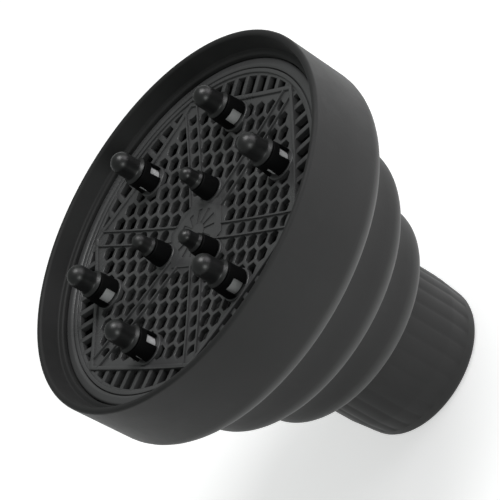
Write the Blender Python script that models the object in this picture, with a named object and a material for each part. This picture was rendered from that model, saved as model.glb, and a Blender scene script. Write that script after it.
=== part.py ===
# Collapsible hair dryer diffuser: a stepped silicone bowl that telescopes over its own neck,
# with a honeycomb grille and nine capped prongs in the mouth of the bowl.
# Metres, +Z towards the open bowl, origin at the centre of the neck's end face.

import math

import bmesh
import bpy
from mathutils import Matrix, Vector

mm = 0.001
joint_gap = 0.3 * mm

# Silicone bowl, from the neck's end up to the rim.
neck_length = 37.8 * mm
neck_radius = 33.2 * mm
neck_end_taper = 1.0 * mm
neck_wall = 6.2 * mm
neck_taper_length = 15.0 * mm
neck_lip_length = 5.5 * mm
neck_lip_round = 1.6 * mm
grip_rib_count = 12
grip_rib_height = 2.0 * mm
grip_rib_width = 1.6 * mm
grip_rib_length = 30.0 * mm
flute_count = 30
flute_depth = 0.5 * mm

lower_fold_drop = 5.7 * mm
lower_ring_height = 12.3 * mm
lower_ring_share = 0.2935

middle_fold_drop = 11.5 * mm
upper_ring_height = 12.5 * mm
upper_ring_share = 0.6065

upper_fold_drop = 14.5 * mm
rim_height = 37.5 * mm
rim_radius = 80.0 * mm
rim_taper = 0.8 * mm

ring_wall = 3.4 * mm
ring_flare = 0.7 * mm
rim_wall = 4.4 * mm
rim_lip_wall = 2.7 * mm
web_wall = 1.2 * mm
rim_shoulder = 8.0 * mm
upper_shoulder = 6.0 * mm
lower_shoulder = 5.7 * mm
web_bend = 0.3

# Grille seat inside the rim.
seat_depth = 14.8 * mm
seat_thickness = 2.5 * mm
seat_width = 2.8 * mm
seat_wall_height = 7.0 * mm
seat_clearance = 0.4 * mm
seat_inset = 7.4 * mm
trim_width = 4.1 * mm
trim_height = 5.5 * mm
trim_lip_width = 1.9 * mm
trim_lip_thickness = 1.5 * mm

# Grille plate.
plate_clearance = 0.3 * mm
plate_thickness = 2.4 * mm
plate_step_width = 1.7 * mm
plate_step_height = 0.8 * mm
plate_dish = 3.5 * mm
hole_share = 0.1063
hole_wall = 1.6 * mm
spoke_hole_radius = 2.5 * mm
spoke_rib_width = 0.7 * mm
spoke_rib_height = 0.9 * mm
spoke_count = 6
chord_width = 1.8 * mm
chord_height = 0.8 * mm
chord_drop = 1.4 * mm
slot_bar = 2.35 * mm
slot_margin = 0.3 * mm
hub_radius = 16.5 * mm
hub_height = 0.5 * mm
hub_slot_count = 12
hub_slot_width = 1.7 * mm
hub_slot_inner = 4.0 * mm
hub_slot_outer = 10.5 * mm
hole_margin = 0.7 * mm
smallest_opening = 1.6 * mm

# Prongs: a black post pressed over a grey core on the grille, and a glossy cap on the post.
large_prong_count = 6
large_prong_share = 0.7155
large_post_base = 6.2 * mm
large_post_top = 5.7 * mm
large_post_height = 7.8 * mm
large_core_height = 4.9 * mm
large_cap_radius = 4.5 * mm
large_cap_length = 11.4 * mm
small_prong_count = 3
small_prong_ring = 18.0 * mm
small_post_base = 4.9 * mm
small_post_top = 4.2 * mm
small_post_height = 6.8 * mm
small_core_height = 3.0 * mm
small_cap_radius = 3.1 * mm
small_cap_length = 7.8 * mm
pad_margin = 0.5 * mm
pad_height = 0.7 * mm
post_wall = 1.9 * mm
core_clearance = 0.3 * mm
cap_wall = 1.0 * mm
cap_flare_share = 0.27
cap_flare_height = 1.9 * mm
spigot_clearance = 0.3 * mm
window_count = 3
window_width = 4.8 * mm
window_height = 4.6 * mm

# Radii: each ring takes its share of the way from the neck out to the rim.
neck_end_radius = neck_radius - neck_end_taper
neck_bore_radius = neck_radius - neck_wall
rim_base_radius = rim_radius - rim_taper
lower_ring_base_radius = neck_radius + lower_ring_share * (rim_base_radius - neck_radius)
lower_ring_top_radius = lower_ring_base_radius + ring_flare
upper_ring_base_radius = neck_radius + upper_ring_share * (rim_base_radius - neck_radius)
upper_ring_top_radius = upper_ring_base_radius + ring_flare
trim_outer_radius = rim_radius - seat_inset

# Stations along the axis, each from the piece below it.
neck_top = neck_length
lower_ring_base = neck_top + lower_fold_drop
lower_ring_top = lower_ring_base + lower_ring_height
upper_ring_base = lower_ring_top + middle_fold_drop
upper_ring_top = upper_ring_base + upper_ring_height
rim_base = upper_ring_top + upper_fold_drop
rim_top = rim_base + rim_height
seat_top = rim_top - seat_depth
trim_base = seat_top + joint_gap
trim_top = trim_base + trim_height
plate_base = trim_base + trim_lip_thickness + joint_gap
plate_radius = trim_outer_radius - trim_width - plate_clearance
hole_pitch = hole_share * plate_radius
hole_width = hole_pitch - hole_wall
slot_width = hole_pitch - slot_bar
large_prong_ring = large_prong_share * plate_radius
chord_corner = plate_radius - trim_lip_width
chord_distance = chord_corner * math.cos(math.pi / spoke_count) - chord_width / 2


def clear_scene():
    for item in list(bpy.data.objects):
        bpy.data.objects.remove(item, do_unlink=True)


def make_material(name, colour, roughness, metallic=0.0):
    material = bpy.data.materials.new(name)
    material.use_nodes = True
    shader = material.node_tree.nodes["Principled BSDF"]
    shader.inputs["Base Color"].default_value = (*colour, 1.0)
    shader.inputs["Roughness"].default_value = roughness
    shader.inputs["Metallic"].default_value = metallic
    return material


def silicone(name):
    return make_material(name, (0.055, 0.054, 0.057), 0.55)


def plate_plastic(name):
    return make_material(name, (0.06, 0.06, 0.062), 0.42)


def post_plastic(name):
    return make_material(name, (0.012, 0.012, 0.013), 0.35)


def cap_plastic(name):
    return make_material(name, (0.02, 0.021, 0.022), 0.2)


def add_object(name, shape, material, place=(0.0, 0.0, 0.0), parent=None):
    mesh = bpy.data.meshes.new(name)
    bmesh.ops.recalc_face_normals(shape, faces=shape.faces[:])
    shape.to_mesh(mesh)
    shape.free()
    mesh.materials.append(material)
    mesh.shade_smooth()
    mesh.set_sharp_from_angle(angle=math.radians(35))
    item = bpy.data.objects.new(name, mesh)
    item.location = place
    item.parent = parent
    bpy.context.scene.collection.objects.link(item)
    return item


def add_joint_empty(name, height):
    empty = bpy.data.objects.new(name, None)
    empty.location = (0.0, 0.0, height)
    bpy.context.scene.collection.objects.link(empty)
    return empty


def arc(centre, radius, start, end, steps):
    angles = [math.radians(start + (end - start) * i / steps) for i in range(steps + 1)]
    return [(centre[0] + radius * math.cos(t), centre[1] + radius * math.sin(t)) for t in angles]


def spin_profile(profile, segments, closed=True):
    shape = bmesh.new()
    verts = [shape.verts.new((r, 0.0, z)) for r, z in profile]
    edges = [shape.edges.new(pair) for pair in zip(verts, verts[1:])]
    if closed:
        edges.append(shape.edges.new((verts[-1], verts[0])))
    bmesh.ops.spin(shape, geom=verts + edges, cent=(0, 0, 0), axis=(0, 0, 1),
                   angle=2 * math.pi, steps=segments, use_merge=True)
    bmesh.ops.remove_doubles(shape, verts=shape.verts[:], dist=1e-6)
    return shape


def prism(sides, radius, low, high, centre=(0.0, 0.0), turn=0.0):
    shape = bmesh.new()
    place = Matrix.Translation((centre[0], centre[1], (low + high) / 2)) @ Matrix.Rotation(turn, 4, "Z")
    bmesh.ops.create_cone(shape, cap_ends=True, segments=sides, radius1=radius, radius2=radius,
                          depth=high - low, matrix=place)
    return shape


def block(size, centre, turn=0.0):
    shape = bmesh.new()
    place = Matrix.Rotation(turn, 4, "Z") @ Matrix.Translation(centre) @ Matrix.Diagonal((*size, 1.0))
    bmesh.ops.create_cube(shape, size=1.0, matrix=place)
    return shape


def gather(shapes):
    whole = bmesh.new()
    for shape in shapes:
        mesh = bpy.data.meshes.new("gathered")
        shape.to_mesh(mesh)
        shape.free()
        whole.from_mesh(mesh)
        bpy.data.meshes.remove(mesh)
    return whole


def combine(target, shapes, operation):
    tool = add_object(target.name + "_" + operation.lower(), gather(shapes), target.data.materials[0])
    tool.hide_render = True
    tool.display_type = "WIRE"
    step = target.modifiers.new(operation, "BOOLEAN")
    step.operation = operation
    step.solver = "MANIFOLD"
    step.object = tool
    return tool


def apply_modifiers(target, tools):
    graph = bpy.context.evaluated_depsgraph_get()
    mesh = bpy.data.meshes.new_from_object(target.evaluated_get(graph))
    target.modifiers.clear()
    target.data = mesh
    for tool in tools:
        bpy.data.objects.remove(tool, do_unlink=True)


def ring_angles(count, offset=0.0):
    return [offset + 2 * math.pi * i / count for i in range(count)]


def polar(radius, angle):
    return radius * math.cos(angle), radius * math.sin(angle)


def shoulder(base_radius, height, radius, wall):
    # Wall that curls inwards at its lower end, from its outer face round to its inner face.
    centre = (base_radius - radius, height + radius)
    return arc(centre, radius, 0, -90, 5) + arc(centre, radius - wall, -90, 0, 3)


def add_rim(material):
    lip = rim_lip_wall / 2
    lip_centre = (rim_radius - lip, rim_top - lip)
    inner = rim_base_radius - rim_wall
    pocket = trim_outer_radius + seat_clearance
    seat_inner = pocket - seat_width
    shelf = seat_top + seat_wall_height
    profile = arc(lip_centre, lip, 180, 0, 4)
    profile += shoulder(rim_base_radius, rim_base, rim_shoulder, rim_wall)
    profile += [
        (inner, seat_top - seat_thickness - seat_width),
        (seat_inner, seat_top - seat_thickness),
        (seat_inner, seat_top),
        (pocket, seat_top),
        (pocket, shelf),
        (rim_radius - rim_wall, shelf),
    ]
    return add_object("rim_band", spin_profile(profile, 54), material)


def add_fold_ring(name, base, height, top_radius, base_radius, curl, segments, material, parent):
    profile = [(top_radius, height)]
    profile += shoulder(base_radius, 0.0, curl, ring_wall)
    profile += [(top_radius - ring_wall, height)]
    ring = add_object(name, spin_profile(profile, segments), material, parent=parent)
    ring.location.z = base - parent.location.z
    return ring


def add_fold_web(name, outer, inner, segments, material, parent):
    # Thin rolling wall from the edge of the curled shoulder above down to the top of the piece below.
    outer_radius = outer[0] - joint_gap
    inner_height = inner[1] + joint_gap
    bend_radius = inner[0] + web_bend * (outer_radius - inner[0])
    bend_height = outer[1] - web_bend * (outer[1] - inner[1])
    profile = [
        (outer_radius, outer[1] + 2 * web_wall),
        (outer_radius, outer[1] + web_wall),
        (bend_radius, bend_height),
        (inner[0], inner_height),
        (inner[0] - web_wall, inner_height),
        (bend_radius - web_wall, bend_height + web_wall / 2),
    ]
    profile = [(r, z - parent.location.z) for r, z in profile]
    return add_object(name, spin_profile(profile, segments), material, parent=parent)


def flute(shape, low, high):
    for vert in shape.verts:
        radius = math.hypot(vert.co.x, vert.co.y)
        if radius < neck_bore_radius + 1.5 * mm or not low < vert.co.z < high:
            continue
        around = math.atan2(vert.co.y, vert.co.x) * flute_count
        inset = flute_depth * (0.5 - 0.5 * math.cos(around))
        vert.co.x -= inset * vert.co.x / radius
        vert.co.y -= inset * vert.co.y / radius


def add_neck(material):
    corner = (neck_end_radius - neck_lip_round, neck_lip_round)
    profile = [
        (neck_bore_radius, neck_top),
        (neck_radius, neck_top),
        (neck_radius, neck_taper_length),
        (neck_end_radius + 0.2 * mm, neck_lip_length),
        (neck_end_radius + 0.1 * mm, neck_lip_length - 0.4 * mm),
    ]
    profile += arc(corner, neck_lip_round, 0, -90, 3)
    profile += [(neck_bore_radius + 0.8 * mm, 0.0), (neck_bore_radius, 0.8 * mm)]
    shape = spin_profile(profile, 2 * flute_count)
    flute(shape, neck_lip_length - 0.1 * mm, neck_top - 1.0 * mm)
    return add_object("neck_sleeve", shape, material)


def add_grip_ribs(neck):
    # Soft inner ribs that close on the dryer's nozzle.
    low = neck_lip_length
    size = (grip_rib_height + 1.0 * mm, grip_rib_width, grip_rib_length)
    middle = neck_bore_radius - grip_rib_height + size[0] / 2
    ribs = [block(size, (middle, 0.0, low + size[2] / 2), turn) for turn in ring_angles(grip_rib_count)]
    tool = combine(neck, ribs, "UNION")
    apply_modifiers(neck, [tool])


def add_trim_ring(material):
    inner = trim_outer_radius - trim_width
    edge = 1.2 * mm
    profile = [
        (inner, trim_top - edge / 2),
        (inner + edge / 2, trim_top),
        (trim_outer_radius - edge, trim_top),
        (trim_outer_radius - edge * 0.3, trim_top - edge * 0.3),
        (trim_outer_radius, trim_top - edge),
        (trim_outer_radius, trim_base),
        (inner - trim_lip_width, trim_base),
        (inner - trim_lip_width, trim_base + trim_lip_thickness),
        (inner, trim_base + trim_lip_thickness),
    ]
    return add_object("trim_ring", spin_profile(profile, 54), material)


def dish_at(radius):
    return plate_dish * (min(1.0, radius / plate_radius) ** 2 - 1.0)


def prong_seats():
    seats = []
    for angle in ring_angles(large_prong_count):
        seats.append((polar(large_prong_ring, angle), large_post_base))
    for angle in ring_angles(small_prong_count):
        seats.append((polar(small_prong_ring, angle), small_post_base))
    return seats


def lattice_centres():
    # Hexagonal lattice about the hub whose closest rows run along the spokes.
    first = Vector(polar(hole_pitch, math.radians(30)))
    second = Vector(polar(hole_pitch, math.radians(90)))
    reach = int(plate_radius / hole_pitch) + 2
    steps = range(-reach, reach + 1)
    return [first * i + second * j for i in steps for j in steps]


def chord_reach(point):
    return max(point.x * math.cos(a) + point.y * math.sin(a) for a in ring_angles(spoke_count))


def on_spoke(point):
    angle = math.atan2(point.y, point.x) - math.radians(30)
    across = point.length * math.sin((angle + math.pi / 6) % (math.pi / 3) - math.pi / 6)
    return abs(across) < 0.1 * mm


def is_hole(point):
    corner = hole_width / math.sqrt(3)
    if chord_reach(point) < hub_radius * math.cos(math.pi / spoke_count) + hole_width / 2 + hole_margin:
        return False
    if chord_reach(point) > chord_distance - chord_width / 2 - corner - 0.2 * mm:
        return False
    for seat, base in prong_seats():
        if (point - Vector(seat)).length < base + pad_margin - hole_width / 2 + smallest_opening:
            return False
    return True


def honeycomb_cutters():
    low = plate_base - plate_dish
    high = plate_base + plate_thickness + plate_dish
    cutters = []
    for point in lattice_centres():
        if not is_hole(point):
            continue
        if on_spoke(point):
            cutters.append(prism(8, spoke_hole_radius, low, high, point, math.radians(22.5)))
        else:
            cutters.append(prism(6, hole_width / math.sqrt(3), low, high, point, math.radians(30)))
    return cutters


def slot_cutters():
    # Slots square to each chord, from the chord out to the step at the plate's edge.
    cutters = []
    inner = chord_distance + chord_width / 2 + slot_margin
    outer = plate_radius - plate_step_width - hole_margin
    corner = math.tan(math.pi / spoke_count) * chord_distance - chord_width
    count = int(corner / hole_pitch)
    for turn in ring_angles(spoke_count):
        for i in range(-count, count):
            across = hole_pitch * (i + 0.5)
            edge = abs(across) + slot_width / 2
            reach = math.sqrt(outer ** 2 - edge ** 2)
            if reach - inner < smallest_opening or edge > corner:
                continue
            size = (reach - inner, slot_width, 4 * plate_dish)
            cutters.append(block(size, ((reach + inner) / 2, across, plate_base), turn))
    return cutters


def hub_cutters():
    length = hub_slot_outer - hub_slot_inner
    size = (length, hub_slot_width, 4 * plate_dish)
    centre = (hub_slot_inner + length / 2, 0.0, plate_base)
    turns = ring_angles(hub_slot_count, math.pi / hub_slot_count)
    return [block(size, centre, turn) for turn in turns if clear_of_small_pads(turn)]


def clear_of_small_pads(turn):
    tip = Vector(polar(hub_slot_outer, turn))
    pad = small_post_base + pad_margin + hub_slot_width
    seats = [Vector(polar(small_prong_ring, a)) for a in ring_angles(small_prong_count)]
    return all((tip - seat).length > pad for seat in seats)


def spoke_ribs():
    top = plate_base + plate_thickness
    start = hub_radius - 2.0 * mm
    end = chord_distance / math.cos(math.pi / spoke_count) - chord_width
    size = (end - start, spoke_rib_width, plate_thickness / 2 + spoke_rib_height)
    next_row = hole_pitch * math.sqrt(3) / 2 - hole_width / math.sqrt(3)
    offset = (spoke_hole_radius + next_row) / 2
    height = top - plate_thickness / 2 + size[2] / 2
    ribs = []
    for turn in ring_angles(spoke_count, math.radians(30)):
        for side in (-offset, offset):
            ribs.append(block(size, ((start + end) / 2, side, height), turn))
    return ribs


def chord_frame():
    # One hexagonal frame of six straight ribs.
    outer = (chord_distance + chord_width / 2) / math.cos(math.pi / spoke_count)
    inner = (chord_distance - chord_width / 2) / math.cos(math.pi / spoke_count)
    low = plate_base - chord_drop
    high = plate_base + plate_thickness + chord_height
    shape = spin_profile([(inner, low), (outer, low), (outer, high), (inner, high)], spoke_count)
    bmesh.ops.rotate(shape, verts=shape.verts[:], matrix=Matrix.Rotation(math.radians(30), 3, "Z"))
    return shape


def hub_and_pads():
    top = plate_base + plate_thickness
    low = top - plate_thickness / 2
    hub = prism(6, hub_radius, low, top + hub_height)
    pads = [prism(12, base + pad_margin, low, top + pad_height, seat) for seat, base in prong_seats()]
    return [hub], pads


def dish_plate(plate):
    # The plate is a shallow dish, level under each prong so that the posts stand square.
    shape = bmesh.new()
    shape.from_mesh(plate.data)
    bmesh.ops.dissolve_limit(shape, angle_limit=math.radians(0.5), verts=shape.verts[:],
                             edges=shape.edges[:])
    bmesh.ops.triangulate(shape, faces=shape.faces[:])
    for vert in shape.verts:
        point = Vector((vert.co.x, vert.co.y))
        radius = point.length
        for seat, base in prong_seats():
            if (point - Vector(seat)).length < base + pad_margin + 0.1 * mm:
                radius = Vector(seat).length
        vert.co.z += dish_at(radius)
    shape.to_mesh(plate.data)
    shape.free()
    plate.data.shade_smooth()
    plate.data.set_sharp_from_angle(angle=math.radians(35))


def add_plate(material):
    top = plate_base + plate_thickness
    step = plate_radius - plate_step_width
    profile = [
        (0.0, top),
        (step, top),
        (step, top + plate_step_height),
        (plate_radius, top + plate_step_height),
        (plate_radius, plate_base),
        (0.0, plate_base),
    ]
    plate = add_object("grille_plate", spin_profile(profile, 60, closed=False), material)
    hub, pads = hub_and_pads()
    steps = [([chord_frame()], "UNION"), (spoke_ribs(), "UNION"), (hub, "UNION"),
             (honeycomb_cutters() + slot_cutters() + hub_cutters(), "DIFFERENCE"), (pads, "UNION")]
    for shapes, operation in steps:
        tool = combine(plate, shapes, operation)
        apply_modifiers(plate, [tool])
    dish_plate(plate)
    return plate


def post_place(ring, angle):
    x, y = polar(ring, angle)
    height = plate_base + plate_thickness + pad_height + dish_at(ring) + joint_gap
    return x, y, height


def add_post(name, place, angle, sizes, windows, material):
    # Tapered post, hollow below over its core and closed above, with a spigot for its cap.
    base, top, height, core_height, cap_radius, cap_length = sizes
    bore = base - post_wall
    bore_top = core_height + 2 * core_clearance + 0.4 * mm
    bore_end = min(bore, top - post_wall * 0.6)
    spigot = cap_radius - cap_wall - spigot_clearance
    spigot_top = height + cap_length * 0.45
    profile = [
        (0.0, bore_top),
        (bore_end, bore_top),
        (bore, core_height + core_clearance),
        (bore, 0.0),
        (base, 0.0),
        (base, height * 0.12),
        (top, height),
        (spigot, height),
        (spigot, spigot_top - 0.6 * mm),
        (spigot - 0.6 * mm, spigot_top),
        (0.0, spigot_top),
    ]
    post = add_object(name, spin_profile(profile, 12, closed=False), material, place)
    if windows:
        size = (2 * base, window_width, window_height)
        centre = (base, 0.0, window_height / 2 - 0.5 * mm)
        turns = ring_angles(window_count, angle)
        tool = combine(post, [block(size, centre, turn) for turn in turns], "DIFFERENCE")
        tool.location = place
        bpy.context.view_layer.update()
        apply_modifiers(post, [tool])
    return post


def add_core(name, place, sizes, material):
    # Grey peg that locates the post on its pad and shows through the post's windows.
    radius = sizes[0] - post_wall - core_clearance
    core_height = sizes[3]
    bevel = 0.5 * mm
    profile = [
        (0.0, core_height),
        (radius - bevel, core_height),
        (radius, core_height - bevel),
        (radius, 0.0),
        (0.0, 0.0),
    ]
    return add_object(name, spin_profile(profile, 12, closed=False), material, place)


def add_cap(name, place, sizes, material):
    # Domed cap whose brimmed open end closes over the post's spigot.
    height, radius, length = sizes[2], sizes[4], sizes[5]
    socket = radius - cap_wall
    socket_top = length * 0.45 + spigot_clearance
    brim = radius * (1 + cap_flare_share)
    dome = arc((0.0, length - radius), radius, 0, 90, 4)
    profile = [
        (0.0, socket_top),
        (socket - 0.6 * mm, socket_top),
        (socket, socket_top - 0.6 * mm),
        (socket, 0.0),
        (brim - 0.3 * mm, 0.0),
        (brim, 0.3 * mm),
        (brim, 0.8 * mm),
        (radius, cap_flare_height),
    ]
    profile += dome[:-1] + [(0.0, length)]
    x, y, z = place
    return add_object(name, spin_profile(profile, 12, closed=False), material, (x, y, z + height + joint_gap))


def add_prongs(name, count, ring, sizes, windows, materials):
    post_material, core_material, cap_material = materials
    for index, angle in enumerate(ring_angles(count)):
        place = post_place(ring, angle)
        label = "%s_prong_%d" % (name, index + 1)
        add_post(label + "_post", place, angle, sizes, windows, post_material)
        add_core(label + "_core", place, sizes, core_material)
        add_cap(label + "_cap", place, sizes, cap_material)


def build():
    clear_scene()
    neck_joint = add_joint_empty("lower_fold_axis", lower_ring_base)
    middle_joint = add_joint_empty("middle_fold_axis", upper_ring_base)

    neck = add_neck(silicone("neck_sleeve"))
    add_grip_ribs(neck)
    add_fold_ring("lower_ring", lower_ring_base, lower_ring_height, lower_ring_top_radius,
                  lower_ring_base_radius, lower_shoulder, 48, silicone("lower_ring"), neck_joint)
    add_fold_ring("upper_ring", upper_ring_base, upper_ring_height, upper_ring_top_radius,
                  upper_ring_base_radius, upper_shoulder, 54, silicone("upper_ring"), middle_joint)
    add_rim(silicone("rim_band"))

    add_fold_web("lower_fold_web", (lower_ring_base_radius - lower_shoulder, lower_ring_base),
                 (neck_radius, neck_top), 48, silicone("lower_fold_web"), neck_joint)
    add_fold_web("middle_fold_web", (upper_ring_base_radius - upper_shoulder, upper_ring_base),
                 (lower_ring_top_radius, lower_ring_top), 48, silicone("middle_fold_web"), middle_joint)
    add_fold_web("upper_fold_web", (rim_base_radius - rim_shoulder, rim_base),
                 (upper_ring_top_radius, upper_ring_top), 54, silicone("upper_fold_web"), middle_joint)

    add_trim_ring(plate_plastic("trim_ring"))
    add_plate(plate_plastic("grille_plate"))
    large = (large_post_base, large_post_top, large_post_height, large_core_height,
             large_cap_radius, large_cap_length)
    small = (small_post_base, small_post_top, small_post_height, small_core_height,
             small_cap_radius, small_cap_length)
    materials = (post_plastic("prong_post"), plate_plastic("prong_core"), cap_plastic("prong_cap"))
    add_prongs("large", large_prong_count, large_prong_ring, large, True, materials)
    add_prongs("small", small_prong_count, small_prong_ring, small, False, materials)


build()
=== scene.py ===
import math

import bmesh
import bpy
from mathutils import Matrix, Vector


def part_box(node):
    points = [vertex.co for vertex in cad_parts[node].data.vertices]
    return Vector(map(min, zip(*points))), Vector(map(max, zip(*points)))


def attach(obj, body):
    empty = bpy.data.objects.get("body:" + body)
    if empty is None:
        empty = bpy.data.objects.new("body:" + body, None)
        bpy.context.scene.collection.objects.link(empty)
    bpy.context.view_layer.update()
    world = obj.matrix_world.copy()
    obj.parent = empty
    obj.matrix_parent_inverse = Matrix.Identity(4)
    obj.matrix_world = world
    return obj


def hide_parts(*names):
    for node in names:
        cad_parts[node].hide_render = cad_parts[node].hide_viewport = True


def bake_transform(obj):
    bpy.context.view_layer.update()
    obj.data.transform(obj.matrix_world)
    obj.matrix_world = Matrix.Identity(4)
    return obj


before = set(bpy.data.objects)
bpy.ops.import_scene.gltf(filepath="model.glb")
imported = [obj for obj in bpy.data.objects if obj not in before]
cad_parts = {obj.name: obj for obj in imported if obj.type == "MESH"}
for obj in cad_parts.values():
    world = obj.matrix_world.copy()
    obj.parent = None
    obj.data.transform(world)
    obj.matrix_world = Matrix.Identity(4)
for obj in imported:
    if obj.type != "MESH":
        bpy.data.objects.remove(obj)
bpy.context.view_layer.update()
mm = 0.001
fitGap = 0.3 * mm  # between neighbouring pieces
rimLow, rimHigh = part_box("rim_band")
upperLow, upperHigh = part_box("upper_ring")
lowerLow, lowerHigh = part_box("lower_ring")
neckLow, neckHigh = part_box("neck_sleeve")
trimLow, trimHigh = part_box("trim_ring")
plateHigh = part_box("grille_plate")[1]


class Value:
    # a number socket that Python's operators work on
    def __init__(self, finish, socket):
        self.finish = finish
        self.socket = socket

    def maths(self, operation, first, second):
        node = self.finish.node("ShaderNodeMath", {"operation": operation}, {0: first, 1: second})
        return Value(self.finish, node.outputs[0])

    def __add__(self, other):
        return self.maths("ADD", self, other)

    def __radd__(self, other):
        return self.maths("ADD", other, self)

    def __sub__(self, other):
        return self.maths("SUBTRACT", self, other)

    def __mul__(self, other):
        return self.maths("MULTIPLY", self, other)

    def __rmul__(self, other):
        return self.maths("MULTIPLY", other, self)


class Finish:
    def __init__(self, name, **fixed):
        self.material = bpy.data.materials.new(name)
        self.material.use_nodes = True
        self.tree = self.material.node_tree
        self.shader = self.tree.nodes["Principled BSDF"]
        for socket, value in fixed.items():
            self.shader.inputs[socket.replace("_", " ")].default_value = value
        self.place = self.node("ShaderNodeTexCoord").outputs["Object"]

    def link(self, value, socket):
        if isinstance(value, Value):
            value = value.socket
        if isinstance(value, bpy.types.NodeSocket):
            self.tree.links.new(value, socket)
        else:
            socket.default_value = value

    def node(self, kind, settings=None, inputs=None):
        node = self.tree.nodes.new(kind)
        for name, value in (settings or {}).items():
            setattr(node, name, value)
        for name, value in (inputs or {}).items():
            self.link(value, node.inputs[name])
        return node

    def noise(self, scale, detail=3.0, roughness=0.5):
        node = self.node("ShaderNodeTexNoise", None, {"Vector": self.place, "Scale": scale,
                                                      "Detail": detail, "Roughness": roughness})
        return Value(self, node.outputs["Fac"])

    def ramp(self, factor, low, high):
        # 0 below low, 1 above high
        node = self.node("ShaderNodeMapRange", {"clamp": True}, {0: factor, 1: low, 2: high, 3: 0.0, 4: 1.0})
        return Value(self, node.outputs[0])

    def mixed(self, factor, first, second):
        node = self.node("ShaderNodeMix", {"data_type": "RGBA"}, {0: factor, 6: first, 7: second})
        return node.outputs[2]

    def bumped(self, height, distance, strength):
        node = self.node("ShaderNodeBump", None, {"Strength": strength, "Distance": distance,
                                                  "Height": height})
        self.link(node.outputs["Normal"], self.shader.inputs["Normal"])

    def paint(self, colour, roughness=None):
        self.link(colour, self.shader.inputs["Base Color"])
        if roughness is not None:
            self.link(roughness, self.shader.inputs["Roughness"])


# the paler shoulder colour and its reach paint a highlight on the curled shoulders
siliconeLook = dict(
    base=(0.019, 0.0189, 0.0191, 1), dusty=(0.025, 0.0249, 0.0252, 1), deep=(0.0155, 0.0159, 0.0157, 1),
    shoulderHighlight=(0.075, 0.0755, 0.0752, 1), highlightReach=7.6 * mm, highlightSolid=0.3, roughness=0.55, grain=0.035 * mm)
grilleLook = dict(
    base=(0.058, 0.058, 0.059, 1), pale=(0.078, 0.078, 0.079, 1), roughness=0.26, shine=0.5, grain=0.02 * mm)
postLook = dict(
    base=(0.0016, 0.0016, 0.0018, 1), pale=(0.003, 0.003, 0.0032, 1), roughness=0.6, shine=0.1,
    grain=0.015 * mm)
# painted light: the cores are coloured pale to stand in for the light that falls in through the post windows
litCoreLook = dict(
    base=(0.62, 0.62, 0.625, 1), pale=(0.74, 0.74, 0.745, 1), roughness=0.45, shine=0.5, grain=0.02 * mm)
capLook = dict(
    base=(0.005, 0.0052, 0.0053, 1), pale=(0.009, 0.0093, 0.0095, 1), roughness=0.37, shine=0.65,
    ripple=0.02 * mm)


def shoulderHighlightMask(finish, look):
    # 1 on the bowl's curled shoulders, where a painted highlight makes them paler
    height = Value(finish, finish.node("ShaderNodeSeparateXYZ", None, {0: finish.place}).outputs["Z"])
    reach = look["highlightReach"]
    mask = 0.0
    for low in (rimLow.z, upperLow.z, lowerLow.z):
        aboveEdge = finish.ramp(height, low - 2.0 * mm, low - 1.0 * mm)
        mask = mask + finish.ramp(height, low + reach, low + reach * look["highlightSolid"]) * aboveEdge
    return mask


def siliconeFinish(name, look):
    finish = Finish(name, IOR=1.41, Specular_IOR_Level=0.38, Sheen_Weight=0.07, Sheen_Roughness=0.35)
    cloud = finish.ramp(finish.noise(16.0, 3.0, 0.55), 0.35, 0.68)
    mottle = finish.ramp(finish.noise(170.0, 4.0, 0.6), 0.42, 0.75)
    fine = finish.noise(2600.0, 2.0, 0.5)
    rubbed = finish.ramp(finish.noise(60.0, 5.0, 0.65), 0.6, 0.78)
    colour = finish.mixed(cloud * 0.6, look["base"], look["deep"])
    colour = finish.mixed(mottle * 0.35 + rubbed * 0.25, colour, look["dusty"])
    # painted highlight: the curled shoulders are coloured paler to stand in for the light they catch
    colour = finish.mixed(shoulderHighlightMask(finish, look) * (0.75 + 0.25 * mottle), colour, look["shoulderHighlight"])
    finish.paint(colour, look["roughness"] + 0.08 * cloud - 0.07 * rubbed + 0.05 * mottle)
    finish.bumped(fine + finish.noise(700.0, 2.0) * 1.4, look["grain"], 0.5)
    return finish.material


def plasticFinish(name, look):
    finish = Finish(name, IOR=1.5, Specular_IOR_Level=look["shine"])
    cloud = finish.ramp(finish.noise(30.0, 3.0, 0.5), 0.36, 0.66)
    speck = finish.ramp(finish.noise(900.0, 3.0, 0.6), 0.5, 0.72)
    colour = finish.mixed(cloud * 0.5 + speck * 0.3, look["base"], look["pale"])
    finish.paint(colour, look["roughness"] + 0.07 * cloud + 0.06 * speck)
    finish.bumped(finish.noise(3200.0, 2.0) + 0.6 * finish.noise(1100.0, 2.0), look["grain"], 0.5)
    return finish.material


def capFinish(name, look):
    finish = Finish(name, IOR=1.5, Specular_IOR_Level=look["shine"])
    cloud = finish.ramp(finish.noise(240.0, 3.0, 0.5), 0.38, 0.7)
    smear = finish.ramp(finish.noise(95.0, 4.0, 0.6), 0.45, 0.72)
    finish.paint(finish.mixed(cloud * 0.6, look["base"], look["pale"]), look["roughness"] + 0.12 * smear)
    finish.bumped(finish.noise(420.0, 1.0), look["ripple"], 0.35)
    return finish.material


def rounded(corners, closed=True, steps=6):
    # corners are (radius, height, fillet); each fillet becomes an arc
    outline = []
    count = len(corners)
    for index, (radius, height, fillet) in enumerate(corners):
        here = Vector((radius, height))
        isEnd = not closed and index in (0, count - 1)
        if not fillet or isEnd:
            outline.append(here)
            continue
        before = (Vector(corners[index - 1][:2]) - here).normalized()
        after = (Vector(corners[(index + 1) % count][:2]) - here).normalized()
        half = before.angle(after) / 2
        centre = here + (before + after).normalized() * fillet / math.sin(half)
        start = here + before * fillet / math.tan(half) - centre
        end = here + after * fillet / math.tan(half) - centre
        first = math.atan2(start.y, start.x)
        sweep = math.remainder(math.atan2(end.y, end.x) - first, 2 * math.pi)
        for step in range(steps + 1):
            angle = first + sweep * step / steps
            outline.append(centre + fillet * Vector((math.cos(angle), math.sin(angle))))
    return outline


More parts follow.
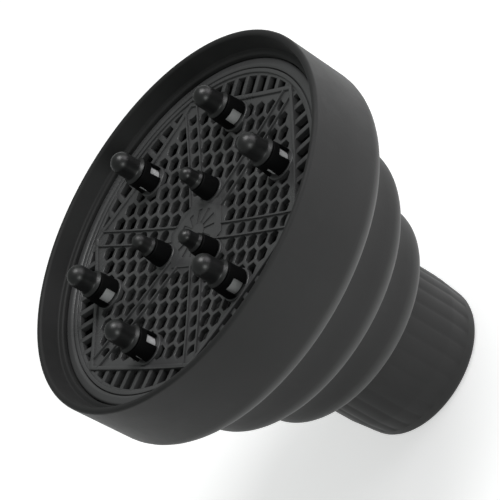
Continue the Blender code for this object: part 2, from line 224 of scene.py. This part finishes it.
def lathe(outline, turns, closed=True, place=(0, 0, 0)):
    shape = bmesh.new()
    verts = [shape.verts.new((point.x, 0, point.y)) for point in outline]
    edges = [shape.edges.new(pair) for pair in zip(verts, verts[1:])]
    if closed:
        edges.append(shape.edges.new((verts[-1], verts[0])))
    bmesh.ops.spin(shape, geom=verts + edges, cent=(0, 0, 0), axis=(0, 0, 1), angle=2 * math.pi,
                   steps=turns, use_merge=True)
    bmesh.ops.remove_doubles(shape, verts=shape.verts[:], dist=1e-6)
    bmesh.ops.recalc_face_normals(shape, faces=shape.faces[:])
    bmesh.ops.translate(shape, verts=shape.verts[:], vec=place)
    return shape


def finished(name, shape, finish, body, nodes=(), sharp=38):
    mesh = bpy.data.meshes.new(name)
    shape.to_mesh(mesh)
    shape.free()
    mesh.materials.append(finish)
    mesh.shade_smooth()
    mesh.set_sharp_from_angle(angle=math.radians(sharp))
    piece = bpy.data.objects.new(name, mesh)
    bpy.context.scene.collection.objects.link(piece)
    if body:
        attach(piece, body)
    if nodes:
        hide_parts(*nodes)
    return piece


def withCuts(shape, tools):
    # cuts closed shapes out of another and gives the result back
    made = []
    for source in [shape] + tools:
        mesh = bpy.data.meshes.new("working")
        source.to_mesh(mesh)
        source.free()
        item = bpy.data.objects.new("working", mesh)
        bpy.context.scene.collection.objects.link(item)
        made.append(item)
    for tool in made[1:]:
        step = made[0].modifiers.new("cut", "BOOLEAN")
        step.operation = "DIFFERENCE"
        step.solver = "EXACT"
        step.object = tool
    bpy.context.view_layer.update()
    result = bmesh.new()
    graph = bpy.context.evaluated_depsgraph_get()
    result.from_mesh(made[0].evaluated_get(graph).to_mesh())
    for item in made:
        bpy.data.objects.remove(item, do_unlink=True)
    return result


def softenEdges(shape, width, angle=30, segments=2, keep=None):
    edges = [edge for edge in shape.edges if len(edge.link_faces) == 2
             and edge.calc_face_angle() > math.radians(angle) and (keep is None or keep(edge))]
    bmesh.ops.bevel(shape, geom=edges, offset=width, offset_type="OFFSET", affect="EDGES",
                    segments=segments, profile=0.5, material=-1, clamp_overlap=True)
    return shape


def merged(shapes):
    whole = bmesh.new()
    for shape in shapes:
        mesh = bpy.data.meshes.new("working")
        shape.to_mesh(mesh)
        shape.free()
        whole.from_mesh(mesh)
        bpy.data.meshes.remove(mesh)
    return whole


def around(radius, angle):
    return Vector((radius * math.cos(angle), radius * math.sin(angle), 0))


silicone = siliconeFinish("satinSilicone", siliconeLook)
grillePlastic = plasticFinish("grillePlastic", grilleLook)
postPlastic = plasticFinish("postPlastic", postLook)
litCorePlastic = plasticFinish("litCorePlastic", litCoreLook)
capPlastic = capFinish("glossCap", capLook)
print("finishes ready")

bowlShape = dict(turns=180, arcSteps=9, ringWall=3.4 * mm, topOutside=0.4 * mm, topInside=0.9 * mm,
                 edge=0.6 * mm)
webShape = dict(wall=1.2 * mm, rows=28, tuckIn=0.35 * mm, tuckUp=1.7 * mm, overlap=1.3 * mm, bend=0.02)
rimShape = dict(baseRadius=79.2 * mm, shoulder=10.0 * mm, wall=4.4 * mm, lipWall=2.7 * mm, lipRound=0.48,
                seatThickness=2.5 * mm, seatWidth=2.8 * mm, seatWall=7.0 * mm, seatGap=0.4 * mm)
stepShape = dict(upperTop=61.8 * mm, upperBase=61.1 * mm, upperShoulder=7.6 * mm,
                 lowerTop=47.4 * mm, lowerBase=46.7 * mm, lowerShoulder=6.6 * mm)


def curledEdge(radius, low, shoulder, wall):
    # the wall curls inwards at its lower end
    edge = bowlShape["edge"]
    return [
        (radius, low, shoulder - edge),
        (radius - shoulder, low, edge * 0.8),
        (radius - shoulder, low + wall, edge * 0.8),
        (radius - wall, low + wall, shoulder - wall - edge),
    ]


def makeRim():
    radius = rimHigh.x
    base = rimShape["baseRadius"]
    lip = rimShape["lipWall"]
    inner = base - rimShape["wall"]
    seatTop = trimLow.z - fitGap
    pocket = trimHigh.x + rimShape["seatGap"]
    seatInner = pocket - rimShape["seatWidth"]
    shelf = seatTop + rimShape["seatWall"]
    low, high = rimLow.z, rimHigh.z
    corners = [(radius, high, lip * rimShape["lipRound"])]
    corners += curledEdge(base, low, rimShape["shoulder"], rimShape["wall"])
    corners += [
        (inner, seatTop - rimShape["seatThickness"] - rimShape["seatWidth"], 1.0 * mm),
        (seatInner, seatTop - rimShape["seatThickness"], 0.4 * mm),
        (seatInner, seatTop, 0.3 * mm),
        (pocket, seatTop, 0.3 * mm),
        (pocket, shelf, 0.9 * mm),
        (radius - rimShape["wall"], shelf, 0.8 * mm),
        (radius - lip, high, lip * rimShape["lipRound"]),
    ]
    return lathe(rounded(corners, steps=bowlShape["arcSteps"]), bowlShape["turns"])


def makeStep(low, high, topRadius, baseRadius, shoulder):
    wall = bowlShape["ringWall"]
    corners = [(topRadius, high, bowlShape["topOutside"])]
    corners += curledEdge(baseRadius, low, shoulder, wall)
    corners += [(topRadius - wall, high, bowlShape["topInside"])]
    return lathe(rounded(corners, steps=bowlShape["arcSteps"]), bowlShape["turns"])


def makeWeb(outer, inner):
    # thin wall from the curled edge above down to the top of the next step, built in many rows
    wall = webShape["wall"]
    rows = webShape["rows"]
    start = Vector((outer[0] + webShape["tuckIn"], outer[1] + webShape["tuckUp"]))
    end = Vector((inner[0] - 0.47 * wall, inner[1] - webShape["overlap"]))
    pull = Vector((inner[0] - 0.2 * wall, outer[1] + webShape["bend"] * (outer[1] - inner[1])))
    middle = []
    for row in range(rows + 1):
        share = row / rows
        middle.append(start.lerp(pull, share).lerp(pull.lerp(end, share), share))
    skin, back = [], []
    for index, point in enumerate(middle):
        along = (middle[min(index + 1, rows)] - middle[max(index - 1, 0)]).normalized()
        outward = Vector((-along.y, along.x)) * wall / 2
        skin.append(point + outward)
        back.append(point - outward)
    return lathe(skin + back[::-1], bowlShape["turns"])


finished("rimBand", makeRim(), silicone, "bowl", ["rim_band"])
for side, low, high in (("upper", upperLow.z, upperHigh.z), ("lower", lowerLow.z, lowerHigh.z)):
    step = makeStep(low, high, stepShape[side + "Top"], stepShape[side + "Base"],
                    stepShape[side + "Shoulder"])
    finished(side + "Step", step, silicone, side + "_ring", [side + "_ring"])

webPlans = [
    ("upperWeb", "upper_fold_web", (rimShape["baseRadius"] - rimShape["shoulder"], rimLow.z),
     (stepShape["upperTop"], upperHigh.z), "upper_ring", "bowl"),
    ("middleWeb", "middle_fold_web", (stepShape["upperBase"] - stepShape["upperShoulder"], upperLow.z),
     (stepShape["lowerTop"], lowerHigh.z), "lower_ring", "upper_ring"),
    ("lowerWeb", "lower_fold_web", (stepShape["lowerBase"] - stepShape["lowerShoulder"], lowerLow.z),
     (neckHigh.x, neckHigh.z), "neck", "lower_ring"),
]
for name, node, outer, inner, below, above in webPlans:  # outer and inner are (radius, height)
    web = finished(name, makeWeb(outer, inner), silicone, None, [node])
    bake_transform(web)
print("bowl, steps and folding walls ready")

neckShape = dict(endRadius=32.2 * mm, bore=27.0 * mm, taper=15.0 * mm, lip=5.5 * mm, lipRound=3.0 * mm,
                 flutes=30, fluteDepth=0.36 * mm, ribs=12, ribHeight=2.0 * mm, ribWidth=1.6 * mm,
                 ribLength=30.0 * mm)


def fluteDip(angle, height):
    # shallow scallops, fading out at the lip and under the bowl
    rise = min(1.0, max(0.0, (height - neckShape["lip"]) / (1.2 * mm)))
    fall = min(1.0, max(0.0, (neckHigh.z - 0.6 * mm - height) / (0.8 * mm)))
    wave = abs(math.sin(angle * neckShape["flutes"] / 2)) ** 0.75
    return neckShape["fluteDepth"] * (1 - wave) * rise * fall


def makeNeck():
    top = neckHigh.z
    radius = neckHigh.x
    bore = neckShape["bore"]
    end = neckShape["endRadius"]
    outer = [
        (bore, top, 0.6 * mm),
        (radius, top, 0.9 * mm),
        (radius, neckShape["taper"], 18.0 * mm),
        (end + 0.1 * mm, neckShape["lip"], 2.0 * mm),
        (end - 0.5 * mm, 0.0, neckShape["lipRound"]),
        (bore + 0.8 * mm, 0.0, 0.3 * mm),
        (bore, 1.2 * mm, 0.4 * mm),
    ]
    outline = rounded(outer)
    fine = []
    for point, after in zip(outline, outline[1:] + outline[:1]):
        cuts = max(1, int((after - point).length / (1.6 * mm)))
        fine += [point.lerp(after, cut / cuts) for cut in range(cuts)]
    shape = lathe(fine, neckShape["flutes"] * 10)
    for vert in shape.verts:
        radial = math.hypot(vert.co.x, vert.co.y)
        if radial > bore + 2.5 * mm:
            dip = fluteDip(math.atan2(vert.co.y, vert.co.x), vert.co.z)
            vert.co.x *= 1 - dip / radial
            vert.co.y *= 1 - dip / radial
    return shape


def makeGripRibs():
    ribs = []
    size = Vector((neckShape["ribHeight"] + 0.6 * mm, neckShape["ribWidth"], neckShape["ribLength"]))
    middle = neckShape["bore"] - neckShape["ribHeight"] + size.x / 2
    for index in range(neckShape["ribs"]):
        rib = bmesh.new()
        bmesh.ops.create_cube(rib, size=1.0, matrix=Matrix.Diagonal((*size, 1.0)))
        softenEdges(rib, 0.5 * mm, segments=3)
        turn = Matrix.Rotation(2 * math.pi * index / neckShape["ribs"], 4, "Z")
        bmesh.ops.transform(rib, verts=rib.verts[:],
                            matrix=turn @ Matrix.Translation((middle, 0, neckShape["lip"] + size.z / 2)))
        ribs.append(rib)
    return ribs


finished("neckSleeve", merged([makeNeck()] + makeGripRibs()), silicone, "neck", ["neck_sleeve"])
print("neck ready")

trimShape = dict(width=4.1 * mm, lipWidth=1.9 * mm, lipThickness=1.5 * mm, turns=180)


def makeTrim():
    low, high = trimLow.z, trimHigh.z
    outer = trimHigh.x
    inner = outer - trimShape["width"]
    corners = [
        (outer, high - 0.3 * mm, 1.1 * mm),
        (outer, low, 0.3 * mm),
        (inner - trimShape["lipWidth"], low, 0.3 * mm),
        (inner - trimShape["lipWidth"], low + trimShape["lipThickness"], 0.3 * mm),
        (inner, low + trimShape["lipThickness"], 0.0),
        (inner, high - 0.5 * mm, 0.5 * mm),
        (inner + 1.0 * mm, high, 0.9 * mm),
    ]
    return lathe(rounded(corners), trimShape["turns"])


finished("trimRing", makeTrim(), grillePlastic, "bowl", ["trim_ring"])

plateShape = dict(thickness=2.4 * mm, dish=3.5 * mm, pitch=7.25 * mm, hole=5.65 * mm, roundHole=2.6 * mm,
                  softEdge=0.2 * mm, stepWidth=1.7 * mm, stepHeight=0.8 * mm, chordWidth=1.8 * mm,
                  chordHeight=0.8 * mm, chordDrop=1.4 * mm, barGap=4.9 * mm, hubCorner=16.5 * mm,
                  hubHeight=0.5 * mm, hubMargin=0.7 * mm, hubSlots=12, slotWidth=2.1 * mm, slotInner=4.0 * mm,
                  slotOuter=10.5 * mm, ribWidth=0.7 * mm, ribHeight=0.9 * mm, padHeight=0.7 * mm,
                  padMargin=0.5 * mm)
prongPlans = dict(large=dict(count=6, ring=48.8 * mm), small=dict(count=3, ring=18.0 * mm))

plateRadius = plateHigh.x
plateBase = trimLow.z + trimShape["lipThickness"] + fitGap
plateTop = plateBase + plateShape["thickness"]
chordCorner = plateRadius - trimShape["lipWidth"]
chordReach = chordCorner * math.cos(math.pi / 6) - plateShape["chordWidth"] / 2


def dishAt(radius):
    return plateShape["dish"] * (min(1.0, radius / plateRadius) ** 2 - 1)


def prongSeats(kind):
    plan = prongPlans[kind]
    base = (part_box(kind + "_prong_1_post")[1].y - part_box(kind + "_prong_1_post")[0].y) / 2
    share = 2 * math.pi / plan["count"]
    return [(around(plan["ring"], share * index), base, kind) for index in range(plan["count"])]


seats = prongSeats("large") + prongSeats("small")


def dished(shape):
    # follows the shallow dish, level under each prong
    for vert in shape.verts:
        flat = Vector((vert.co.x, vert.co.y, 0))
        radius = flat.length
        for seat, base, kind in seats:
            near = (flat - seat).length - base - plateShape["padMargin"]
            if near < 1.5 * mm:
                share = max(0.0, min(1.0, near / (1.5 * mm)))
                radius = seat.length * (1 - share) + radius * share
        vert.co.z += dishAt(radius)
    return shape


def sectorReach(point):
    return max(point.dot(around(1.0, math.radians(60 * side))) for side in range(6))


def onSpoke(point):
    angle = (math.atan2(point.y, point.x) - math.radians(30)) % math.radians(60)
    angle = min(angle, math.radians(60) - angle)
    return abs(point.length * math.sin(angle)) < 0.2 * mm


def honeycombSheet():
    # one sheet of six-sided cells, each inset to its hole, then thickened
    pitch = plateShape["pitch"]
    sheet = bmesh.new()
    first = around(pitch, math.radians(30))
    second = around(pitch, math.radians(90))
    reach = int(plateRadius / pitch) + 2
    for i in range(-reach, reach + 1):
        for j in range(-reach, reach + 1):
            centre = first * i + second * j
            if sectorReach(centre) < chordReach + pitch * 0.5:
                place = Matrix.Translation(centre) @ Matrix.Rotation(math.radians(30), 4, "Z")
                bmesh.ops.create_circle(sheet, cap_ends=True, segments=6, radius=pitch / math.sqrt(3),
                                        matrix=place)
    bmesh.ops.remove_doubles(sheet, verts=sheet.verts[:], dist=0.05 * mm)
    for side in range(6):
        outward = around(1.0, math.radians(60 * side))
        bmesh.ops.bisect_plane(sheet, geom=sheet.verts[:] + sheet.edges[:] + sheet.faces[:], dist=1e-6,
                               plane_co=outward * chordReach, plane_no=outward, clear_outer=True)
    cells = [face for face in sheet.faces if isOpenCell(face)]
    middles = {face: face.calc_center_median() for face in cells}
    bmesh.ops.inset_individual(sheet, faces=cells, thickness=(pitch - plateShape["hole"]) / 2,
                               use_even_offset=True)
    for face in cells:
        if onSpoke(middles[face]):
            roundOff(sheet, face, middles[face])
    bmesh.ops.delete(sheet, geom=cells, context="FACES")
    bmesh.ops.recalc_face_normals(sheet, faces=sheet.faces[:])
    return thickened(sheet, plateBase, plateTop)


def isOpenCell(face):
    centre = face.calc_center_median()
    corner = plateShape["hole"] / math.sqrt(3)
    if len(face.verts) != 6:
        return False
    hubReach = plateShape["hubCorner"] * math.cos(math.pi / 6)
    if sectorReach(centre) < hubReach + plateShape["hole"] / 2 + plateShape["hubMargin"]:
        return False
    if sectorReach(centre) > chordReach - plateShape["chordWidth"] / 2 - corner - 0.2 * mm:
        return False
    return all((centre - seat).length > base + plateShape["padMargin"] - plateShape["hole"] / 2 + 1.6 * mm
               for seat, base, kind in seats)


def roundOff(sheet, face, middle):
    # a round hole in the spoke rows
    bmesh.ops.bisect_edges(sheet, edges=face.edges[:], cuts=3)
    for vert in face.verts:
        vert.co = middle + (vert.co - middle).normalized() * plateShape["roundHole"]


def thickened(sheet, low, high):
    bmesh.ops.translate(sheet, verts=sheet.verts[:], vec=(0, 0, high))
    made = bmesh.ops.extrude_face_region(sheet, geom=sheet.faces[:])
    verts = [item for item in made["geom"] if isinstance(item, bmesh.types.BMVert)]
    bmesh.ops.translate(sheet, verts=verts, vec=(0, 0, low - high))
    bmesh.ops.recalc_face_normals(sheet, faces=sheet.faces[:])
    return sheet


def insideCut(edge):
    middle = (edge.verts[0].co + edge.verts[1].co) / 2
    return sectorReach(Vector((middle.x, middle.y, 0))) < chordReach - 0.3 * mm


def box(size, place, turn=0.0, soft=0.25 * mm, cuts=0):
    shape = bmesh.new()
    bmesh.ops.create_cube(shape, size=1.0, matrix=Matrix.Diagonal((*size, 1.0)))
    if cuts:
        long = [edge for edge in shape.edges if abs(edge.verts[0].co.x - edge.verts[1].co.x) > size[0] * 0.5]
        bmesh.ops.subdivide_edges(shape, edges=long, cuts=cuts, use_grid_fill=True)
    if soft:
        softenEdges(shape, soft, angle=60)
    bmesh.ops.transform(shape, verts=shape.verts[:],
                        matrix=Matrix.Rotation(turn, 4, "Z") @ Matrix.Translation(place))
    return shape


def spokeRibs():
    start = plateShape["hubCorner"] - 2.0 * mm
    end = chordReach / math.cos(math.pi / 6) - plateShape["chordWidth"]
    nextRow = plateShape["pitch"] * math.sqrt(3) / 2 - plateShape["hole"] / 2
    offset = (plateShape["roundHole"] + nextRow) / 2 + 0.15 * mm
    height = plateShape["thickness"] / 2 + plateShape["ribHeight"]
    size = (end - start, plateShape["ribWidth"], height)
    ribs = []
    for spoke in range(6):
        for side in (-offset, offset):
            place = ((start + end) / 2, side, plateTop - plateShape["thickness"] / 2 + height / 2)
            ribs.append(box(size, place, math.radians(30 + 60 * spoke), 0.15 * mm, 18))
    return ribs


def edgeBars():
    # bars between the chord and the plate's edge leave the slots open
    outer = plateRadius - plateShape["stepWidth"] - 0.3 * mm
    inner = chordReach
    width = plateShape["pitch"] - plateShape["barGap"]
    bars = []
    for side in range(6):
        for index in range(-4, 5):
            across = plateShape["pitch"] * index
            if abs(index) == 4:
                across -= math.copysign(0.2 * mm, index)
            reach = math.sqrt(outer ** 2 - across ** 2)
            place = ((reach + inner) / 2, across, (plateTop + plateBase) / 2)
            size = (reach - inner + 0.6 * mm, width, plateShape["thickness"])
            bars.append(box(size, place, math.radians(60 * side), 0.22 * mm, 2))
    return bars


def edgeRing():
    step = plateRadius - plateShape["stepWidth"]
    inside = step - 1.1 * mm
    corners = [
        (plateRadius, plateTop + plateShape["stepHeight"], 0.35 * mm),
        (plateRadius, plateBase, 0.25 * mm),
        (inside, plateBase, 0.3 * mm),
        (inside, plateTop, 0.3 * mm),
        (step, plateTop, 0.15 * mm),
        (step, plateTop + plateShape["stepHeight"], 0.3 * mm),
    ]
    return lathe(rounded(corners, steps=3), 180)


def cornerWebs():
    # solid triangles where the chords meet the plate's edge
    webs = []
    outer = plateRadius - plateShape["stepWidth"]
    for spoke in range(6):
        shape = bmesh.new()
        bmesh.ops.create_cone(shape, cap_ends=True, segments=24, radius1=3.6 * mm, radius2=3.6 * mm,
                              depth=plateShape["thickness"])
        angle = math.radians(30 + 60 * spoke)
        place = around(outer - 4.2 * mm, angle) + Vector((0, 0, (plateTop + plateBase) / 2))
        stretch = Matrix.Rotation(angle, 4, "Z") @ Matrix.Diagonal((0.9, 1.25, 1.0, 1.0))
        bmesh.ops.transform(shape, verts=shape.verts[:], matrix=Matrix.Translation(place) @ stretch)
        webs.append(shape)
    return webs


def chordFrame():
    half = plateShape["chordWidth"] / 2
    low = plateBase - plateShape["chordDrop"]
    high = plateTop + plateShape["chordHeight"]
    outer = (chordReach + half) / math.cos(math.pi / 6)
    inner = (chordReach - half) / math.cos(math.pi / 6)
    corners = [(outer, high, 0), (outer, low, 0), (inner, low, 0), (inner, high, 0)]
    shape = lathe(rounded(corners), 6)
    bmesh.ops.rotate(shape, verts=shape.verts[:], matrix=Matrix.Rotation(math.radians(30), 3, "Z"))
    softenEdges(shape, 0.35 * mm, angle=50)
    long = [edge for edge in shape.edges if edge.calc_length() > 30 * mm]
    bmesh.ops.subdivide_edges(shape, edges=long, cuts=14, use_grid_fill=True)
    return shape


def hubBlock():
    shape = bmesh.new()
    high = plateTop + plateShape["hubHeight"]
    bmesh.ops.create_cone(shape, cap_ends=True, segments=6, radius1=plateShape["hubCorner"],
                          radius2=plateShape["hubCorner"], depth=high - plateBase,
                          matrix=Matrix.Translation((0, 0, (high + plateBase) / 2)))
    slots = []
    length = plateShape["slotOuter"] - plateShape["slotInner"]
    for index in range(plateShape["hubSlots"]):
        turn = 2 * math.pi * (index + 0.5) / plateShape["hubSlots"]
        tip = around(plateShape["slotOuter"], turn)
        if all((tip - seat).length > base + plateShape["padMargin"] + plateShape["slotWidth"]
               for seat, base, kind in seats if kind == "small"):
            place = (plateShape["slotInner"] + length / 2, 0, (high + plateBase) / 2)
            slots.append(box((length, plateShape["slotWidth"], 8 * mm), place, turn, 0))
    shape = withCuts(shape, [merged(slots)])
    return softenEdges(shape, 0.18 * mm, angle=40)


def seatPads():
    pads = []
    for seat, base, kind in seats:
        radius = base + plateShape["padMargin"]
        corners = [
            (0.0, plateTop + plateShape["padHeight"], 0),
            (radius, plateTop + plateShape["padHeight"], 0.35 * mm),
            (radius, plateTop - plateShape["thickness"] / 2, 0),
            (0.0, plateTop - plateShape["thickness"] / 2, 0),
        ]
        pads.append(lathe(rounded(corners, closed=False, steps=3), 48, closed=False, place=seat))
    return pads


sheet = softenEdges(honeycombSheet(), plateShape["softEdge"], angle=50, segments=2, keep=insideCut)
pieces = [sheet, edgeRing(), chordFrame(), hubBlock()] + spokeRibs() + edgeBars() + cornerWebs() + seatPads()
finished("grillePlate", dished(merged(pieces)), grillePlastic, "bowl", ["grille_plate"])
print("grille ready")

largeProng = dict(base=6.2 * mm, top=5.7 * mm, height=7.8 * mm, core=4.9 * mm, cap=4.5 * mm, length=11.4 * mm,
                  windows=3, windowWidth=5.3 * mm, windowHeight=5.6 * mm)
smallProng = dict(base=4.9 * mm, top=4.2 * mm, height=6.8 * mm, core=3.0 * mm, cap=3.1 * mm, length=7.8 * mm,
                  windows=0, windowWidth=0.0, windowHeight=0.0)
prongDetail = dict(wall=1.3 * mm, gap=0.3 * mm, capWall=1.0 * mm, spigotShare=0.45, flareShare=0.27,
                   flareHeight=2.9 * mm, turns=48, domeSteps=12)


def makePost(look, place, turn):
    base, top, height = look["base"], look["top"], look["height"]
    bore = base - prongDetail["wall"]
    boreTop = look["core"] + 2 * prongDetail["gap"] + 0.4 * mm
    spigot = look["cap"] - prongDetail["capWall"] - prongDetail["gap"]
    spigotTop = height + look["length"] * prongDetail["spigotShare"]
    corners = [
        (0.0, boreTop, 0),
        (min(bore, top - prongDetail["wall"] * 0.6), boreTop, 0),
        (bore, look["core"] + prongDetail["gap"], 0),
        (bore, 0.0, 0.2 * mm),
        (base, 0.0, 0.25 * mm),
        (base, height * 0.12, 1.0 * mm),
        (top, height, 0.5 * mm),
        (spigot, height, 0),
        (spigot, spigotTop, 0.6 * mm),
        (0.0, spigotTop, 0),
    ]
    shape = lathe(rounded(corners, closed=False, steps=4), prongDetail["turns"], closed=False)
    if look["windows"]:
        cutters = []
        for index in range(look["windows"]):
            angle = turn + 2 * math.pi * index / look["windows"]
            size = (2 * base, look["windowWidth"], look["windowHeight"])
            cutters.append(box(size, (base, 0, look["windowHeight"] / 2 - 0.5 * mm), angle, 0.5 * mm))
        shape = withCuts(shape, [merged(cutters)])
    bmesh.ops.translate(shape, verts=shape.verts[:], vec=place)
    return shape


def makeCore(look, place):
    radius = look["base"] - prongDetail["wall"] - prongDetail["gap"]
    top = look["core"]
    corners = [(0.0, top, 0), (radius, top, 0.5 * mm), (radius, 0.0, 0.1 * mm), (0.0, 0.0, 0)]
    return lathe(rounded(corners, closed=False, steps=3), prongDetail["turns"], closed=False, place=place)


def makeCap(look, place):
    radius, length = look["cap"], look["length"]
    socket = radius - prongDetail["capWall"]
    socketTop = length * prongDetail["spigotShare"] + prongDetail["gap"]
    brim = radius * (1 + prongDetail["flareShare"])
    corners = [
        (0.0, socketTop, 0),
        (socket, socketTop, 0.6 * mm),
        (socket, 0.0, 0.2 * mm),
        (brim, 0.0, 0.2 * mm),
        (brim, 0.45 * mm, 0.2 * mm),
        (radius + 0.2 * mm, prongDetail["flareHeight"] * 0.5, 1.1 * mm),
        (radius, prongDetail["flareHeight"], 0.8 * mm),
    ]
    outline = rounded(corners, closed=False, steps=4)
    for step in range(prongDetail["domeSteps"] + 1):
        angle = math.radians(90 * step / prongDetail["domeSteps"])
        outline.append(Vector((radius * math.cos(angle), length - radius + radius * math.sin(angle))))
    return lathe(outline, prongDetail["turns"], closed=False, place=place)


for seat, base, kind in seats:
    look = largeProng if kind == "large" else smallProng
    turn = math.atan2(seat.y, seat.x)
    index = round(turn / (2 * math.pi / prongPlans[kind]["count"])) % prongPlans[kind]["count"] + 1
    node = "%s_prong_%d" % (kind, index)
    place = Vector((seat.x, seat.y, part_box(node + "_post")[0].z))
    capPlace = Vector((seat.x, seat.y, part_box(node + "_cap")[0].z))
    label = "%sProng%d" % (kind, index)
    finished(label + "Post", makePost(look, place, turn), postPlastic, "bowl",
             [node + "_post"])
    finished(label + "Core", makeCore(look, place), litCorePlastic, "bowl", [node + "_core"])
    finished(label + "Cap", makeCap(look, capPlace), capPlastic, "bowl", [node + "_cap"])
print("prongs ready")

studio = dict(floorSize=6.0, floorColour=(0.92, 0.92, 0.92, 1), world=(0.95, 1.0, 0.97, 1),
              worldStrength=0.25)


def floorFinish():
    finish = Finish("studioFloor", Roughness=0.9)
    cloud = finish.ramp(finish.noise(3.0, 2.0), 0.3, 0.7)
    finish.paint(finish.mixed(cloud * 0.2, studio["floorColour"], (0.9, 0.9, 0.9, 1)))
    finish.shader.inputs["Emission Color"].default_value = (1, 1, 1, 1)
    finish.shader.inputs["Emission Strength"].default_value = 0.5
    return finish.material


def makeFloor():
    shape = bmesh.new()
    bmesh.ops.create_grid(shape, x_segments=8, y_segments=8, size=studio["floorSize"] / 2)
    bmesh.ops.translate(shape, verts=shape.verts[:], vec=(0, 0, neckLow.z - 0.2 * mm))
    mesh = bpy.data.meshes.new("studioFloor")
    shape.to_mesh(mesh)
    shape.free()
    mesh.materials.append(floorFinish())
    floor = bpy.data.objects.new("studioFloor", mesh)
    bpy.context.scene.collection.objects.link(floor)


def addSoftbox(name, place, aim, size, power, colour=(1, 1, 1)):
    light = bpy.data.lights.new(name, "AREA")
    light.shape = "DISK"
    light.size = size
    light.energy = power
    light.color = colour
    lamp = bpy.data.objects.new(name, light)
    lamp.location = place
    lamp.rotation_euler = (Vector(aim) - Vector(place)).to_track_quat("-Z", "Y").to_euler()
    bpy.context.scene.collection.objects.link(lamp)


def addWorld():
    world = bpy.data.worlds.new("studioWorld")
    world.use_nodes = True
    ground = world.node_tree.nodes["Background"]
    ground.inputs["Color"].default_value = studio["world"]
    ground.inputs["Strength"].default_value = studio["worldStrength"]
    bpy.context.scene.world = world
    bpy.context.scene.view_settings.view_transform = "Standard"


def addCamera():
    camera = bpy.data.cameras.new("studioCamera")
    camera.lens = 180
    camera.sensor_width = 36
    camera.clip_end = 20
    holder = bpy.data.objects.new("studioCamera", camera)
    right = Vector((-0.66821, 0.00857, -0.74392)).normalized()
    up = Vector((-0.49596, -0.75046, 0.43684)).normalized()
    back = right.cross(up)
    turn = Matrix((right, up, back)).transposed().to_4x4()
    holder.matrix_world = Matrix.Translation((-0.53076, 0.62530, rimHigh.z + 0.44351)) @ turn
    bpy.context.scene.collection.objects.link(holder)
    bpy.context.scene.camera = holder


makeFloor()
addWorld()
middle = (0, 0, rimHigh.z * 0.7)
addSoftbox("topSoftbox", (-0.55, -0.5, 1.3), middle, 0.8, 10, (1.0, 1.0, 1.0))
addSoftbox("sideSoftbox", (-1.35, -0.6, 0.5), middle, 1.2, 6.5, (1.0, 0.96, 1.0))
addSoftbox("frontSoftbox", (-0.85, 1.1, 0.5), middle, 0.6, 4.5, (0.97, 1.0, 0.98))
addCamera()
print("studio ready")
